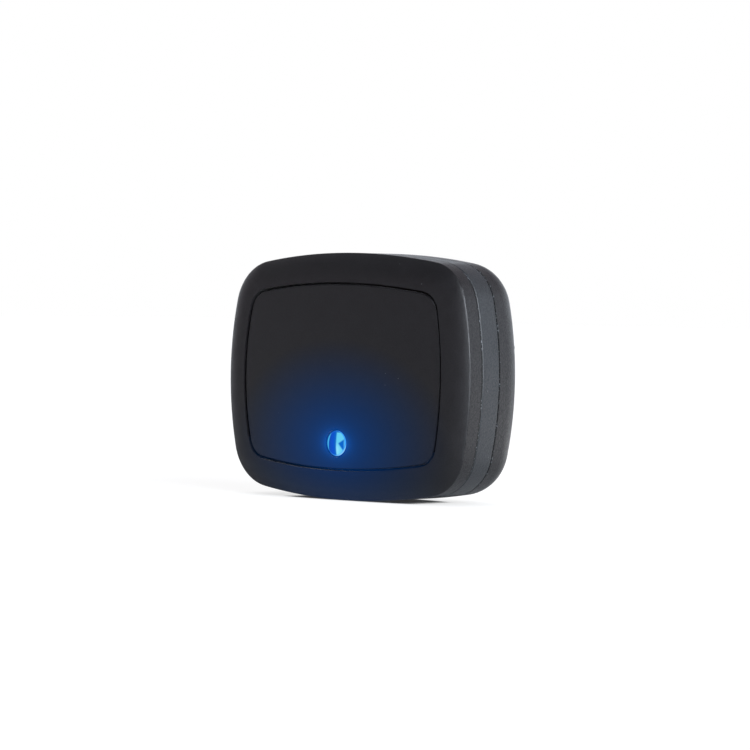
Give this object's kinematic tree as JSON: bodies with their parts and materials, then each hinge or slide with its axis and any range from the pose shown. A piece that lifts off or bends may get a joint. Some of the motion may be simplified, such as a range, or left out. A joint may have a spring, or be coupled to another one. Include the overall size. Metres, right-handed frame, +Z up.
{
  "type": "animal gps tracker",
  "caption": "Small rounded black location tracker for an animal's collar, with a push-button front panel, a lit lens, a sealed housing in bands and a hinged strap clip.",
  "frame": {"origin": "middle of the bounding box's lower face, under the tracker as it stands on its lower edge", "axes": "+X along the width, to the right seen from the front; +Y from the front panel towards the collar clip; +Z up"},
  "size_m": [0.052, 0.0241, 0.04],
  "materials": {
    "shell_black": "moulded polycarbonate, soft-touch matt",
    "frame_black": "moulded polycarbonate, fine satin texture",
    "panel_black": "moulded polycarbonate, soft-touch matt",
    "clip_black": "moulded nylon, fine texture",
    "seal_silicone": "moulded silicone",
    "boot_silicone": "moulded silicone, translucent",
    "clear_lens": "clear acrylic, lit blue by the lamp",
    "board": "glass-epoxy laminate with solder mask",
    "steel_screw": "zinc-plated steel",
    "black_screw": "black-oxide steel",
    "switch_body": "moulded nylon",
    "lamp": "white moulded package",
    "patch_ceramic": "sintered ceramic with silvered faces",
    "shield_can": "tin-plated steel",
    "sounder_case": "moulded plastic",
    "chip": "moulded epoxy",
    "holder_steel": "pressed stainless steel",
    "card": "printed-card plastic, blank",
    "aerial_brass": "folded sheet brass",
    "cell_foil": "laminated aluminium pouch",
    "foam_tape": "double-sided foam tape",
    "plug_white": "moulded nylon",
    "lead_insulation": "silicone-insulated wire",
    "gold_contact": "gold-plated brass",
    "magnet_nickel": "nickel-plated magnet",
    "pad_rubber": "overmoulded soft rubber",
    "pin_steel": "stainless steel"
  },
  "bodies": {
    "housing": {"front_shell": "shell_black", "mid_frame": "frame_black", "rear_shell": "shell_black", "front_seal": "seal_silicone", "rear_seal": "seal_silicone", "light_pipe": "clear_lens", "button_boot": "boot_silicone", "main_board": "board", "board_screws": "steel_screw", "housing_screws": "black_screw", "tact_switch": "switch_body", "indicator_led": "lamp", "satellite_antenna": "patch_ceramic", "cellular_module": "shield_can", "satellite_receiver": "shield_can", "sounder": "sounder_case", "motion_sensor": "chip", "sim_holder": "holder_steel", "sim_card": "card", "cellular_antenna": "aerial_brass", "battery_cell": "cell_foil", "battery_pad": "foam_tape", "battery_plug": "plug_white", "battery_leads": "lead_insulation", "contact_pads": "gold_contact", "contact_springs": "gold_contact", "charging_magnets": "magnet_nickel", "clip_pin": "pin_steel"},
    "button": {"front_panel": "panel_black", "switch_stem": "switch_body"},
    "clip": {"collar_clip": "clip_black", "grip_pad": "pad_rubber"}
  },
  "joints": [
    {"name": "button_press", "type": "slide", "parent": "housing", "child": "button", "axis": [0, 1, 0], "range_m": [0, 0.0004], "stiffness_N_per_m": 2000, "springref_m": -0.0005},
    {"name": "clip_hinge", "type": "hinge", "parent": "housing", "child": "clip", "pos_m": [-0.0161, 0.00995, 0.02], "axis": [0, 0, 1], "range_deg": [0, 110]}
  ]
}
